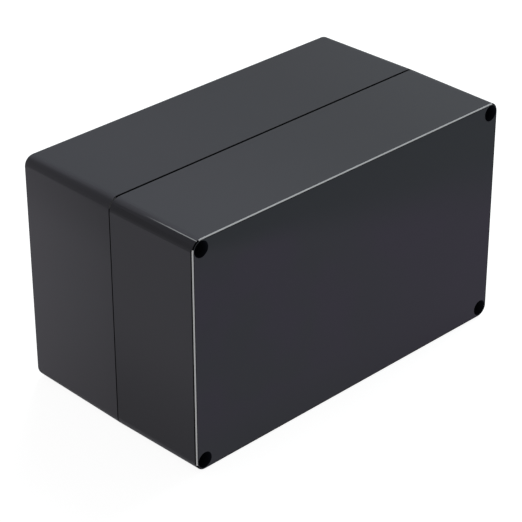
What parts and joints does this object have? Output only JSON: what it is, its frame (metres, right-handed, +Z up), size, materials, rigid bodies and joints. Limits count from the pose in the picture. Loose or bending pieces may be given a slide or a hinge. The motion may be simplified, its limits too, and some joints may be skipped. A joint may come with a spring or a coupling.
{
  "type": "plastic project box",
  "caption": "Closed two-part moulded project box with a deep drafted lid, corner screws, seal cord and wall-mounting holes in the back.",
  "frame": {"origin": "on the standing surface, under the middle of the box", "axes": "+Z up as the box stands on a long side, -Y out of the lid's face, +Y out of the back, X across"},
  "size_m": [0.2, 0.1134, 0.1195],
  "materials": {
    "housing": "fine satin moulded ABS, dark grey",
    "seal": "matte black foam rubber cord",
    "screw": "black-finished steel",
    "insert": "turned brass"
  },
  "bodies": {
    "root": {"base": "housing", "lid": "housing", "gasket": "seal", "lid_screw_top_left": "screw", "lid_screw_top_right": "screw", "lid_screw_bottom_left": "screw", "lid_screw_bottom_right": "screw", "insert_top_left": "insert", "insert_top_right": "insert", "insert_bottom_left": "insert", "insert_bottom_right": "insert"}
  },
  "joints": []
}
